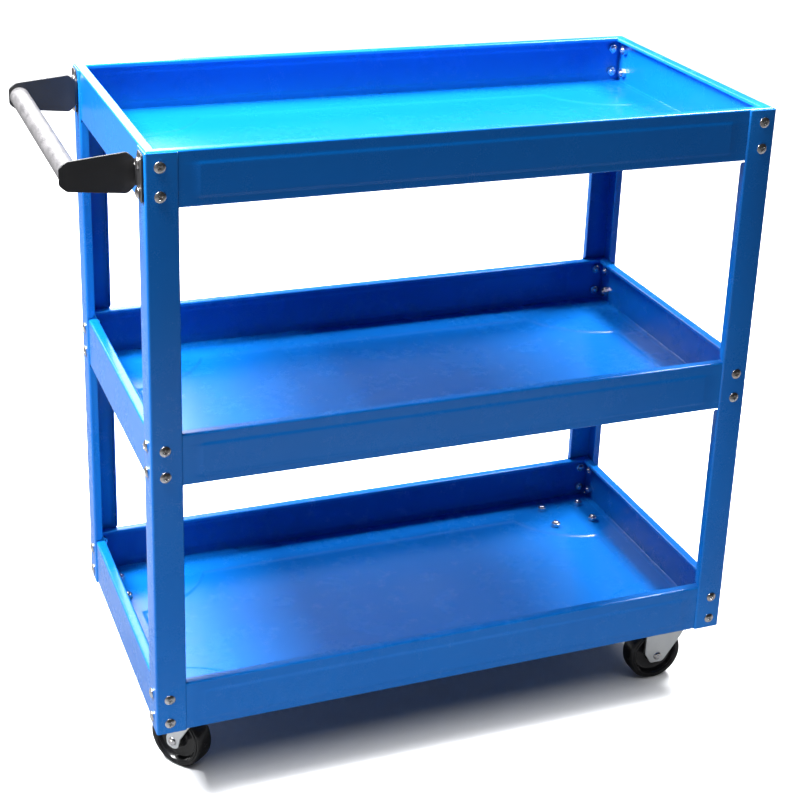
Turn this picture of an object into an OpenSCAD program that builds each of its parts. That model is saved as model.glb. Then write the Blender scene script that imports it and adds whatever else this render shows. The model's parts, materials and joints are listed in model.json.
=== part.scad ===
// Open three-tray tool cart. Pressed sheet-steel trays are screwed to four
// angle posts. A fixed push handle is at the left end, with two swivel
// casters below it, and two rigid casters carry the right end.

/* [Overall size] */
// Length between the outer faces of the left and right posts
cart_l = 672; // [560:1:820]
// Depth between the outer faces of the front and back posts
cart_d = 350; // [290:1:430]
// Height of the corner posts
post_h = 630; // [520:1:760]

/* [Posts] */
// Width of each leg of a post's angle
leg_w = 32; // [26.5:0.1:39]
// Sheet thickness of the posts
post_t = 1.5; // [1.2:0.1:1.9]
// Reach of the turned-in lips from the post's outer face
lip_w = 9; // [6:0.5:11]
// Outer radius of the bends in the posts
post_r = 2.5; // [2.1:0.1:3]

/* [Trays] */
// Height of a tray from its underside to the top of its rim
tray_h = 56; // [46:0.5:68]
// Sheet thickness of the trays
tray_t = 1; // [0.8:0.1:1.3]
// Height of the top tray's rim above the posts
rim_rise = 1; // [0.5:0.1:3]
// Height of the middle tray's underside above the feet of the posts
mid_z = 286; // [220:1:350]
// Width of the rim's inward fold
rim_w = 11; // [9:0.5:14]
// Depth of the hem that turns down from the rim
hem_h = 4; // [3:0.5:6]
// Outer radius of the bends in the trays
bend_r = 2; // [1.6:0.1:2.5]
// Height of the raised panel pressed into each long wall
wall_press = 0.8; // [0.4:0.1:1]
// Depth of the panel pressed down into each floor
floor_press = 1.5; // [0.8:0.1:2]
// Distance from a post's outer face to the floor panel's end
floor_end = 39; // [34:1:46]
// Distance from a post's outer face to the floor panel's side
floor_side = 47; // [40:1:56]
// Radius of the scoops that keep the floor's corners flat
scoop_r = 102; // [96:1:108]

/* [Fasteners] */
// Thread diameter of every screw
screw_d = 6; // [5:0.1:7.2]
// Diameter of a screw's pan head
head_d = 11.5; // [9.6:0.1:12.6]
// Height of a screw's pan head
head_h = 3.4; // [2.8:0.1:4.1]
// Width across the flats of a nut
nut_af = 10; // [9:0.1:11]
// Height of a nut
nut_h = 5; // [4:0.1:6]

/* [Handle] */
// Reach of the handle's arms from the posts' outer faces
handle_reach = 73; // [60:1:90]
// Plate thickness of the arms
arm_t = 2; // [1.6:0.1:2.5]
// Height of an arm where it leaves its flange
arm_root_h = 40; // [36:1:46]
// Height of an arm at the grip
arm_tip_h = 29; // [25:1:34]
// Height of the flange on the post
flange_h = 47; // [46:0.5:50]
// Outer diameter of the grip's sleeve
grip_d = 20.6; // [15:0.1:23]

/* [Casters] */
// Diameter of a wheel
wheel_d = 68; // [52:0.5:76]
// Width of a wheel's tread
wheel_w = 24; // [20:0.5:29]
// Distance from the posts' outer faces to a caster's centre
caster_in = 54.5; // [50:0.5:64]
// Spacing of the caster bolts along the cart
bolt_x = 53.5; // [50:0.5:60]
// Spacing of the caster bolts across the cart
bolt_y = 44; // [43.5:0.5:48]
// Distance a swivel caster's axle trails its kingpin
trail = 20; // [16:0.5:24]
// Direction the front swivel caster trails in, degrees from +X
swivel_front = 128; // [0:1:359]
// Direction the back swivel caster trails in, degrees from +X
swivel_back = 62; // [0:1:359]

/* [Hidden] */
$fn = 64;
eps = 0.01;
seat_gap = 0.1;          // paint film between a tray's wall and the posts
hole_play = 0.3;         // radial play of a screw in its hole
thread_gap = 0.05;       // radial play drawn between a screw and its nut
run_gap = 0.06;          // radial running clearance of wheels and kingpins
free_gap = 0.3;          // gap between faces that move past each other
wall_in = post_t + seat_gap;
tray_l = cart_l - 2 * wall_in;
tray_d = cart_d - 2 * wall_in;
top_z = post_h + rim_rise - tray_h;
low_z = 0;
tray_zs = [low_z, mid_z, top_z];
notch_gap = 2;           // gap between a post's lips and the tray above or below
screw_r = screw_d / 2;
head_r = head_d / 2;
hole_r = screw_r + hole_play;
front_screw = leg_w * 0.44;   // screws' distance from the corner, long walls
side_screw = leg_w * 0.56;    // screws' distance from the corner, end walls
screw_low = tray_h * 0.23;
screw_high = tray_h * 0.74;
screw_end = 2.4;         // thread showing past a nut
clamp_t = wall_in + tray_t;
wall_screw_l = clamp_t + nut_h + screw_end;
recess_l = head_d * 0.45;
recess_w = head_d * 0.1;
recess_h = head_h * 0.5;
corner_gap = 3;          // open seam at the end of each long wall
seam = 0.3;              // half the slit where two walls' rims meet
relief_r = 2.5;          // relief hole in each floor corner
wall_panel_in = 48.5 - wall_in;
wall_panel_low = 7.5;
wall_panel_h = tray_h - 18.5;
scoop_x = 32 - wall_in;
scoop_y = 12 - wall_in;
handle_z = post_h - 25;
arm_y = leg_w - 5;       // arm plate's outer face, from the post's face
arm_r = 3;
arm_clip = 7;
flange_in = 4;
grip_r = grip_d / 2;
bar_r = 6;
grip_gap = 0.1;
grip_x = -handle_reach + grip_r + 0.3;
grip_end = 0.5;
plate_t = 2.5;
plate_l = bolt_x + 19.5;
plate_w = bolt_y + 13;
plate_r = 5;
wheel_r = wheel_d / 2;
over_wheel = 21.5;       // wheel's top to the plate's top
axle_drop = wheel_r + over_wheel;
base_h = axle_drop + wheel_r;
fork_t = 2;
side_play = 0.5;
hub_half = wheel_w / 2 + 1.5;
fork_in = hub_half + side_play;
axle_r = 4;
bush_r = 6;
boss_r = 8.5;
axle_head_r = 5.2;
axle_head_h = 2.4;
hub_r = 10;
rim_r = wheel_r - 7.5;
web_half = 4;
tread_cut = 2;
ball_r = 2.5;
ball_ring = 17;
ball_n = 16;
race_in = 20.5;
race_out = 22.5;
race_h = 4;
crown_r = 22;
crown_t = 2.5;
crown_z = plate_t + 2 * ball_r + free_gap;
kingpin_r = 4;
kingpin_head_r = 8;
kingpin_head_h = 3;
caster_y = caster_in;
x_post = -(cart_l + head_h - handle_reach) / 2;
frame_blue = [0.05, 0.33, 0.72];
rim_black = [0.06, 0.06, 0.07];
zinc = [0.78, 0.79, 0.8];

// ---- placing ----

// Front-left post's outer corner at its foot becomes the origin.
module in_cart() {
    translate([x_post, -cart_d / 2, base_h])
        children();
}

// Repeats a front-left corner detail at corner (ix, iy), each 0 or 1.
module at_corner(ix, iy) {
    translate([ix * cart_l, iy * cart_d, 0])
        mirror([ix, 0, 0])
            mirror([0, iy, 0])
                children();
}

// Local frame of a caster: plate's top centre at the origin.
module at_caster(ix, iy) {
    x = ix == 0 ? caster_in : cart_l - caster_in;
    y = iy == 0 ? caster_y : cart_d - caster_y;
    translate([x, y, 0])
        children();
}

// Turns a front-left screw so that its shank points into the front wall.
module into_front(off) {
    translate([off, 0, 0])
        rotate([-90, 0, 0])
            children();
}

// Turns it so that its shank points into the end wall.
module into_end(off) {
    translate([0, off, 0])
        rotate([0, 90, 0])
            children();
}

// ---- posts ----

// Quarter of a bent sheet: corner at the origin, bend centre at (r, r).
module bent_corner(r, t) {
    intersection() {
        square(r);
        difference() {
            translate([r, r])
                circle(r);
            translate([r, r])
                circle(r - t);
        }
    }
}

module post_section() {
    flat = leg_w - 2 * post_r;
    bent_corner(post_r, post_t);
    translate([post_r, 0])
        square([flat, post_t]);
    translate([0, post_r])
        square([post_t, flat]);
    translate([leg_w, 0])
        mirror([1, 0])
            bent_corner(post_r, post_t);
    translate([0, leg_w])
        mirror([0, 1])
            bent_corner(post_r, post_t);
    translate([leg_w - post_t, post_r])
        square([post_t, lip_w - post_r]);
    translate([post_r, leg_w - post_t])
        square([lip_w - post_r, post_t]);
}

// Room for one tray: the lips are cut away so that its walls lie flat.
module lip_notch(z) {
    low = max(z - notch_gap, -1);
    high = z + tray_h + notch_gap;
    translate([leg_w - post_r, post_t, low])
        cube([post_r + 1, lip_w, high - low]);
    translate([post_t, leg_w - post_r, low])
        cube([lip_w, post_r + 1, high - low]);
}

module post_holes(z) {
    for (h = [screw_low, screw_high]) {
        translate([0, -1, z + h])
            into_front(front_screw)
                cylinder(r = hole_r, h = post_t + 2);
        translate([-1, 0, z + h])
            into_end(side_screw)
                cylinder(r = hole_r, h = post_t + 2);
    }
}

module post() {
    difference() {
        linear_extrude(post_h)
            post_section();
        for (z = tray_zs) {
            lip_notch(z);
            post_holes(z);
        }
    }
}

module place_post(ix, iy) {
    color(frame_blue)
        in_cart()
            at_corner(ix, iy)
                post();
}

// ---- trays ----

// Wall, rim and hem of a tray: x runs inward from the wall's outer face.
module wall_section() {
    bent_corner(bend_r, tray_t);
    translate([0, bend_r])
        square([tray_t, tray_h - 2 * bend_r]);
    translate([0, tray_h])
        mirror([0, 1])
            bent_corner(bend_r, tray_t);
    translate([bend_r, tray_h - tray_t])
        square([rim_w - 2 * bend_r, tray_t]);
    translate([rim_w, tray_h])
        mirror([1, 0])
            mirror([0, 1])
                bent_corner(bend_r, tray_t);
    translate([rim_w - tray_t, tray_h - hem_h])
        square([tray_t, hem_h - bend_r]);
}

// One wall along X, mitred at both ends with a slit for the seam.
module tray_wall(len) {
    m = rim_w + 1;
    intersection() {
        rotate([90, 0, 90])
            linear_extrude(len)
                wall_section();
        translate([0, 0, -1])
            linear_extrude(tray_h + 2)
                polygon([[seam, 0], [len - seam, 0], [len - seam - m, m], [seam + m, m]]);
    }
}

// Raised panel of a long wall, pressed outward.
module wall_panel_skin() {
    translate([wall_panel_in, -wall_press, wall_panel_low])
        cube([tray_l - 2 * wall_panel_in, wall_press + tray_t, wall_panel_h]);
}

module wall_panel_hollow() {
    translate([wall_panel_in + tray_t, tray_t - wall_press, wall_panel_low + tray_t])
        cube([tray_l - 2 * wall_panel_in - 2 * tray_t, wall_press + eps, wall_panel_h - 2 * tray_t]);
}

// Open seam where a long wall stops short of the end wall.
module seam_cut() {
    translate([tray_t + eps, -1, bend_r])
        cube([corner_gap, tray_t + 1 + eps, tray_h - 2 * bend_r]);
}

module long_wall() {
    difference() {
        union() {
            tray_wall(tray_l);
            wall_panel_skin();
        }
        wall_panel_hollow();
        seam_cut();
        translate([tray_l, 0, 0])
            mirror([1, 0, 0])
                seam_cut();
        for (h = [screw_low, screw_high]) {
            for (x = [front_screw - wall_in, tray_l - front_screw + wall_in]) {
                translate([x, -1, h])
                    rotate([-90, 0, 0])
                        cylinder(r = hole_r, h = tray_t + 2);
            }
        }
    }
}

module end_wall() {
    difference() {
        translate([0, tray_d, 0])
            rotate([0, 0, -90])
                tray_wall(tray_d);
        for (h = [screw_low, screw_high]) {
            for (y = [side_screw - wall_in, tray_d - side_screw + wall_in]) {
                translate([-1, y, h])
                    rotate([0, 90, 0])
                        cylinder(r = hole_r, h = tray_t + 2);
            }
        }
    }
}

// Outline of the pressed floor panel, grown by o, with scooped corners.
module floor_outline(o) {
    x0 = floor_end - wall_in - o;
    y0 = floor_side - wall_in - o;
    difference() {
        translate([x0, y0])
            square([tray_l - 2 * x0, tray_d - 2 * y0]);
        for (x = [scoop_x, tray_l - scoop_x]) {
            for (y = [scoop_y, tray_d - scoop_y]) {
                translate([x, y])
                    circle(scoop_r - o);
            }
        }
    }
}

module tray_floor() {
    difference() {
        union() {
            translate([bend_r, bend_r, 0])
                cube([tray_l - 2 * bend_r, tray_d - 2 * bend_r, tray_t]);
            translate([0, 0, -floor_press])
                linear_extrude(floor_press + tray_t)
                    floor_outline(tray_t);
        }
        translate([0, 0, tray_t - floor_press])
            linear_extrude(floor_press + 1)
                floor_outline(0);
        for (x = [relief_r, tray_l - relief_r]) {
            for (y = [relief_r, tray_d - relief_r]) {
                translate([x, y, -1])
                    cylinder(r = relief_r, h = tray_t + 2);
            }
        }
    }
}

module back_wall() {
    translate([0, tray_d, 0])
        mirror([0, 1, 0])
            long_wall();
}

module right_wall() {
    translate([tray_l, 0, 0])
        mirror([1, 0, 0])
            end_wall();
}

// Each tray is one folded blank, drawn as its floor and its four walls.
module in_tray(z) {
    color(frame_blue)
        in_cart()
            translate([wall_in, wall_in, z])
                children();
}

module tray_top_floor() {
    in_tray(top_z)
        tray_floor();
}

module tray_top_front() {
    in_tray(top_z)
        long_wall();
}

module tray_top_back() {
    in_tray(top_z)
        back_wall();
}

module tray_top_left() {
    in_tray(top_z)
        end_wall();
}

module tray_top_right() {
    in_tray(top_z)
        right_wall();
}

module tray_mid_floor() {
    in_tray(mid_z)
        tray_floor();
}

module tray_mid_front() {
    in_tray(mid_z)
        long_wall();
}

module tray_mid_back() {
    in_tray(mid_z)
        back_wall();
}

module tray_mid_left() {
    in_tray(mid_z)
        end_wall();
}

module tray_mid_right() {
    in_tray(mid_z)
        right_wall();
}

// The lowest tray's floor carries the casters' bolts.
module tray_low_floor() {
    color(frame_blue)
        difference() {
            in_tray(low_z)
                tray_floor();
            in_cart()
                at_each_bolt()
                    translate([0, 0, -1])
                        cylinder(r = hole_r, h = tray_t + 2);
        }
}

module tray_low_front() {
    in_tray(low_z)
        long_wall();
}

module tray_low_back() {
    in_tray(low_z)
        back_wall();
}

module tray_low_left() {
    in_tray(low_z)
        end_wall();
}

module tray_low_right() {
    in_tray(low_z)
        right_wall();
}

// ---- tray screws and nuts ----

// Pan head below z = 0 with a cross recess, shank above.
module pan_screw(len) {
    rise = head_h * 0.5;
    difference() {
        union() {
            cylinder(r = screw_r, h = len);
            translate([0, 0, rise - head_h])
                cylinder(r = head_r, h = head_h - rise);
            translate([0, 0, -head_h])
                cylinder(r1 = head_r * 0.66, r2 = head_r, h = rise);
        }
        for (a = [0, 90]) {
            rotate([0, 0, a])
                translate([-recess_l / 2, -recess_w / 2, -head_h - 1])
                    cube([recess_l, recess_w, recess_h + 1]);
        }
    }
}

module hex_nut() {
    difference() {
        cylinder(r = nut_af / 2 / cos(30), h = nut_h, $fn = 6);
        translate([0, 0, -1])
            cylinder(r = screw_r + thread_gap, h = nut_h + 2);
    }
}

// The screws of one corner; lift moves the end wall's heads out over a plate.
module corner_screws(z, lift) {
    for (h = [screw_low, screw_high]) {
        translate([0, 0, z + h])
            into_front(front_screw)
                pan_screw(wall_screw_l);
        translate([-lift, 0, z + h])
            into_end(side_screw)
                pan_screw(wall_screw_l + lift);
    }
}

module corner_nuts(z) {
    for (h = [screw_low, screw_high]) {
        translate([0, clamp_t, z + h])
            into_front(front_screw)
                hex_nut();
        translate([clamp_t, 0, z + h])
            into_end(side_screw)
                hex_nut();
    }
}

module place_screws(z, lift) {
    color(zinc)
        in_cart()
            for (iy = [0, 1]) {
                at_corner(0, iy)
                    corner_screws(z, lift);
                at_corner(1, iy)
                    corner_screws(z, 0);
            }
}

module place_nuts(z) {
    color(zinc)
        in_cart()
            for (ix = [0, 1]) {
                for (iy = [0, 1]) {
                    at_corner(ix, iy)
                        corner_nuts(z);
                }
            }
}

// ---- handle ----

// Plan of an arm's bend: flange on the post, plate running out to the left.
module arm_bend_plan() {
    translate([0, arm_y + arm_t])
        mirror([1, 0])
            mirror([0, 1])
                bent_corner(arm_r, arm_t);
}

module arm_plate() {
    root = arm_root_h / 2;
    tip = arm_tip_h / 2;
    neck = root - arm_clip;
    far = -handle_reach;
    translate([0, arm_y + arm_t, handle_z])
        rotate([90, 0, 0])
            linear_extrude(arm_t)
                polygon([[-arm_r, neck], [-arm_r - arm_clip, root], [far + arm_clip, tip],
                         [far, tip - arm_clip], [far, arm_clip - tip], [far + arm_clip, -tip],
                         [-arm_r - arm_clip, -root], [-arm_r, -neck]]);
}

module handle_arm() {
    neck = arm_root_h / 2 - arm_clip;
    flange_w = arm_y + arm_t - arm_r - flange_in;
    difference() {
        union() {
            arm_plate();
            translate([0, 0, handle_z - neck])
                linear_extrude(2 * neck)
                    arm_bend_plan();
            translate([-arm_t, flange_in, handle_z - flange_h / 2])
                cube([arm_t, flange_w, flange_h]);
        }
        for (h = [screw_low, screw_high]) {
            translate([-arm_t - 1, 0, top_z + h])
                into_end(side_screw)
                    cylinder(r = hole_r, h = arm_t + 2);
        }
    }
}

module place_arm(iy) {
    color(rim_black)
        in_cart()
            at_corner(0, iy)
                handle_arm();
}

module along_grip(inset, r) {
    translate([grip_x, arm_y + arm_t + inset, handle_z])
        rotate([-90, 0, 0])
            cylinder(r = r, h = cart_d - 2 * (arm_y + arm_t + inset));
}

module handle_bar() {
    color(zinc)
        in_cart()
            along_grip(0, bar_r);
}

module handle_grip() {
    color(rim_black)
        in_cart()
            difference() {
                along_grip(grip_end, grip_r);
                along_grip(0, bar_r + grip_gap);
            }
}

// ---- caster fixings ----

module at_each_bolt() {
    for (ix = [0, 1]) {
        for (iy = [0, 1]) {
            for (x = [-bolt_x / 2, bolt_x / 2]) {
                for (y = [-bolt_y / 2, bolt_y / 2]) {
                    at_caster(ix, iy)
                        translate([x, y, 0])
                            children();
                }
            }
        }
    }
}

module caster_bolts() {
    color(zinc)
        in_cart()
            at_each_bolt()
                translate([0, 0, -plate_t])
                    pan_screw(plate_t + tray_t + nut_h + screw_end);
}

module caster_nuts() {
    color(zinc)
        in_cart()
            at_each_bolt()
                translate([0, 0, tray_t])
                    hex_nut();
}

// ---- casters ----

module rounded_rect(l, w, r) {
    square([l, w - 2 * r], center = true);
    square([l - 2 * r, w], center = true);
    for (x = [r - l / 2, l / 2 - r]) {
        for (y = [r - w / 2, w / 2 - r]) {
            translate([x, y])
                circle(r);
        }
    }
}

module caster_plate() {
    translate([0, 0, -plate_t])
        linear_extrude(plate_t)
            rounded_rect(plate_l, plate_w, plate_r);
}

module plate_holes() {
    for (x = [-bolt_x / 2, bolt_x / 2]) {
        for (y = [-bolt_y / 2, bolt_y / 2]) {
            translate([x, y, -plate_t - 1])
                cylinder(r = hole_r, h = plate_t + 2);
        }
    }
}

// Both cheeks from one outline, with the axle's holes through them.
module fork_cheeks() {
    for (y = [-fork_in, fork_in + fork_t]) {
        translate([0, y, 0])
            rotate([90, 0, 0])
                linear_extrude(fork_t)
                    children();
    }
}

module axle_hole(x) {
    translate([x, -fork_in - fork_t - 1, -axle_drop])
        rotate([-90, 0, 0])
            cylinder(r = axle_r + thread_gap, h = 2 * (fork_in + fork_t + 1));
}

// Cheek of a rigid bracket: upright at the back, slanted towards the end.
module rigid_cheek() {
    low = -axle_drop - boss_r;
    polygon([[-17, -1], [-17, -axle_drop + 4], [-11, low + 3], [-8, low + 0.5], [-5, low],
             [6, low], [9, low + 2], [26, -axle_drop + 17], [plate_l / 2 - 1, -axle_drop + 32],
             [plate_l / 2 - 1, -1]]);
}

module rigid_bracket(ix, iy) {
    color(zinc)
        in_cart()
            at_caster(ix, iy)
                difference() {
                    union() {
                        caster_plate();
                        fork_cheeks()
                            rigid_cheek();
                    }
                    plate_holes();
                    axle_hole(0);
                }
}

// Cheek of a swivel fork, narrowing from the crown to the axle's boss.
module swivel_cheek() {
    polygon([[-crown_r * 0.75, -crown_z - 1], [crown_r * 0.75, -crown_z - 1],
             [trail + boss_r, -axle_drop + 2], [trail + boss_r, -axle_drop],
             [trail, -axle_drop], [trail - boss_r, -axle_drop - 1], [trail - boss_r - 2, -axle_drop + 6]]);
    translate([trail, -axle_drop])
        circle(boss_r);
}

module at_swivel(iy) {
    in_cart()
        at_caster(0, iy)
            rotate([0, 0, iy == 0 ? swivel_front : swivel_back])
                children();
}

module swivel_fork(iy) {
    color(zinc)
        at_swivel(iy)
            difference() {
                union() {
                    translate([0, 0, -crown_z - crown_t])
                        cylinder(r = crown_r, h = crown_t);
                    fork_cheeks()
                        swivel_cheek();
                }
                translate([0, 0, -crown_z - crown_t - 1])
                    cylinder(r = kingpin_r + run_gap, h = crown_t + 2);
                axle_hole(trail);
            }
}

// Plate with the upper ball race pressed into it.
module swivel_plate(iy) {
    color(zinc)
        in_cart()
            at_caster(0, iy)
                difference() {
                    union() {
                        caster_plate();
                        translate([0, 0, -plate_t - race_h])
                            cylinder(r = race_out, h = race_h + 1);
                    }
                    translate([0, 0, -plate_t - race_h - 1])
                        cylinder(r = race_in, h = race_h + 1);
                    plate_holes();
                    translate([0, 0, -plate_t - 1])
                        cylinder(r = kingpin_r + thread_gap, h = plate_t + 2);
                }
}

module race_balls(iy) {
    color(zinc)
        in_cart()
            at_caster(0, iy)
                for (i = [0 : ball_n - 1]) {
                    rotate([0, 0, i * 360 / ball_n])
                        translate([ball_ring, 0, -plate_t - ball_r])
                            sphere(ball_r);
                }
}

// Riveted pin that holds the fork's crown up against the balls.
module kingpin(iy) {
    foot = crown_z + crown_t + free_gap;
    color(zinc)
        in_cart()
            at_caster(0, iy) {
                translate([0, 0, -foot])
                    cylinder(r = kingpin_r, h = foot - 0.1);
                translate([0, 0, -foot - kingpin_head_h])
                    cylinder(r1 = kingpin_head_r * 0.7, r2 = kingpin_head_r, h = kingpin_head_h);
            }
}

// Puts an axle-centred detail on the caster at (ix, iy).
module at_axle(ix, iy) {
    if (ix == 0) {
        at_swivel(iy)
            translate([trail, 0, -axle_drop])
                children();
    } else {
        in_cart()
            at_caster(1, iy)
                translate([0, 0, -axle_drop])
                    children();
    }
}

// Axle rivet with a domed head outside each cheek.
module axle(ix, iy) {
    half = fork_in + fork_t;
    color(zinc)
        at_axle(ix, iy)
            rotate([-90, 0, 0]) {
                translate([0, 0, -half])
                    cylinder(r = axle_r, h = 2 * half);
                translate([0, 0, half])
                    cylinder(r1 = axle_head_r, r2 = axle_head_r * 0.6, h = axle_head_h);
                translate([0, 0, -half - axle_head_h])
                    cylinder(r1 = axle_head_r * 0.6, r2 = axle_head_r, h = axle_head_h);
            }
}

module bush(ix, iy) {
    half = fork_in - thread_gap;
    color(zinc)
        at_axle(ix, iy)
            rotate([-90, 0, 0])
                difference() {
                    translate([0, 0, -half])
                        cylinder(r = bush_r, h = 2 * half);
                    translate([0, 0, -half - 1])
                        cylinder(r = axle_r + thread_gap, h = 2 * half + 2);
                }
}

// Moulded wheel: tread, thin web and a hub that runs on the bush.
module wheel(ix, iy) {
    w = wheel_w / 2;
    b = bush_r + run_gap;
    color(rim_black)
        at_axle(ix, iy)
            rotate([-90, 0, 0])
                rotate_extrude()
                    polygon([[b, -hub_half], [hub_r, -hub_half], [hub_r + 1, -web_half],
                             [rim_r - 1, -web_half], [rim_r, -w], [wheel_r - tread_cut, -w],
                             [wheel_r, tread_cut * 1.5 - w], [wheel_r, w - tread_cut * 1.5],
                             [wheel_r - tread_cut, w], [rim_r, w], [rim_r - 1, web_half],
                             [hub_r + 1, web_half], [hub_r, hub_half], [b, hub_half]]);
}

// ---- nodes ----

tray_top_floor();
tray_top_front();
tray_top_back();
tray_top_left();
tray_top_right();
tray_mid_floor();
tray_mid_front();
tray_mid_back();
tray_mid_left();
tray_mid_right();
tray_low_floor();
tray_low_front();
tray_low_back();
tray_low_left();
tray_low_right();
place_post(0, 0);  // post_fl
place_post(1, 0);  // post_fr
place_post(0, 1);  // post_bl
place_post(1, 1);  // post_br
place_arm(0);  // handle_arm_front
place_arm(1);  // handle_arm_back
handle_bar();
handle_grip();
place_screws(top_z, arm_t);  // screws_top
place_screws(mid_z, 0);  // screws_mid
place_screws(low_z, 0);  // screws_low
place_nuts(top_z);  // nuts_top
place_nuts(mid_z);  // nuts_mid
place_nuts(low_z);  // nuts_low
caster_bolts();
caster_nuts();
swivel_plate(0);  // swivel_plate_fl
swivel_plate(1);  // swivel_plate_bl
race_balls(0);  // race_balls_fl
race_balls(1);  // race_balls_bl
kingpin(0);  // kingpin_fl
kingpin(1);  // kingpin_bl
swivel_fork(0);  // swivel_fork_fl
swivel_fork(1);  // swivel_fork_bl
axle(0, 0);  // axle_fl
axle(0, 1);  // axle_bl
axle(1, 0);  // axle_fr
axle(1, 1);  // axle_br
bush(0, 0);  // bush_fl
bush(0, 1);  // bush_bl
bush(1, 0);  // bush_fr
bush(1, 1);  // bush_br
wheel(0, 0);  // wheel_fl
wheel(0, 1);  // wheel_bl
wheel(1, 0);  // wheel_fr
wheel(1, 1);  // wheel_br
rigid_bracket(1, 0);  // rigid_bracket_fr
rigid_bracket(1, 1);  // rigid_bracket_br
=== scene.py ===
import json
import math

import bmesh
import bpy
import numpy as np
from mathutils import Matrix, Vector
from mathutils.geometry import delaunay_2d_cdt

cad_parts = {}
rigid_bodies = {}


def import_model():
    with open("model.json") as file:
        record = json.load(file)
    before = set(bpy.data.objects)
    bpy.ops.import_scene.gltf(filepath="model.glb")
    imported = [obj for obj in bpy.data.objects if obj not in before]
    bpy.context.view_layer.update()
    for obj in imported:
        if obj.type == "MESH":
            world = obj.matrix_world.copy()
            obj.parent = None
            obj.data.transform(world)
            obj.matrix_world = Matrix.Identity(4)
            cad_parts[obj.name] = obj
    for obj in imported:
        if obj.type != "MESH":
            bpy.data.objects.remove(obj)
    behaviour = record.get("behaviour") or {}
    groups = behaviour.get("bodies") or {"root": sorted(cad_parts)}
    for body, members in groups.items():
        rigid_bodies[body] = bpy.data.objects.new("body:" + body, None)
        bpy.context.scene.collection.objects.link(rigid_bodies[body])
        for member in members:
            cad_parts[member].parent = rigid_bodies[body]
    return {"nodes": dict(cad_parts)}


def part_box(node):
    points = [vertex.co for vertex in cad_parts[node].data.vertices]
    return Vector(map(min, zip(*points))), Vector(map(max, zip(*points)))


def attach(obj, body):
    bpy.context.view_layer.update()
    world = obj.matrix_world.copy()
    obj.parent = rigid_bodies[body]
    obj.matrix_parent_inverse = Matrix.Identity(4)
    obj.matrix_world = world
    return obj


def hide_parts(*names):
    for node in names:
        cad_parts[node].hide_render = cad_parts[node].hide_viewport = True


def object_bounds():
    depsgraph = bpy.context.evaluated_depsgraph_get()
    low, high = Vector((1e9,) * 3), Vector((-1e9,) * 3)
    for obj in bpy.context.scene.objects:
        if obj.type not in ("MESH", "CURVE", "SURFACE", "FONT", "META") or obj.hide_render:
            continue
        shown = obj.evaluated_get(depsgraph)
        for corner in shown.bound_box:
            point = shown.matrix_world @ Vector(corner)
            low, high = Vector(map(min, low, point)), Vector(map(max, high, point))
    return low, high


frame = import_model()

cad_lo, cad_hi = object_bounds()
cad_lo, cad_hi = list(cad_lo), list(cad_hi)

# ---- Corner posts ---------------------------------------------------------
# Four angle posts of 1.5 mm sheet steel, roll-bent with a turned-in lip on
# each free edge. The lips are notched at every tray. Powder-coated blue.

MM = 0.001
foot = Vector(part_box("post_fl")[0])
far_post = Vector(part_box("post_br")[1])
cart_l = (far_post.x - foot.x) / MM
cart_d = (far_post.y - foot.y) / MM
post_h = (far_post.z - foot.z) / MM
leg_w, post_t, lip_w, post_r = 32.0, 1.5, 9.0, 2.5
tray_h, rim_rise = 56.0, 1.0
levels = {"top": post_h + rim_rise - tray_h, "mid": 286.0, "low": 0.0}
notch_gap, notch_r, soft_end = 2.0, 6.0, 0.4


class Val:
    """A shader value. Arithmetic on it adds Math nodes."""

    def __init__(self, nodes, out):
        self.nodes, self.out = nodes, out

    def maths(self, operation, a, b):
        return self.nodes.make("ShaderNodeMath", {"operation": operation}, {0: a, 1: b})

    def __add__(self, other):
        return self.maths("ADD", self, other)

    def __radd__(self, other):
        return self.maths("ADD", other, self)

    def __sub__(self, other):
        return self.maths("SUBTRACT", self, other)

    def __rsub__(self, other):
        return self.maths("SUBTRACT", other, self)

    def __mul__(self, other):
        return self.maths("MULTIPLY", self, other)

    def __rmul__(self, other):
        return self.maths("MULTIPLY", other, self)

    def or_more(self, other):
        return self.maths("MAXIMUM", self, other)


class Nodes:
    """A node tree, filled one node at a time."""

    def __init__(self, tree):
        self.tree = tree
        tree.nodes.clear()

    def make(self, kind, settings=None, sockets=None, out=0):
        node = self.tree.nodes.new(kind)
        for key, value in (settings or {}).items():
            setattr(node, key, value)
        for key, value in (sockets or {}).items():
            if isinstance(value, Val):
                self.tree.links.new(value.out, node.inputs[key])
            else:
                node.inputs[key].default_value = value
        return Val(self, node.outputs[out] if node.outputs else None)


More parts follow.
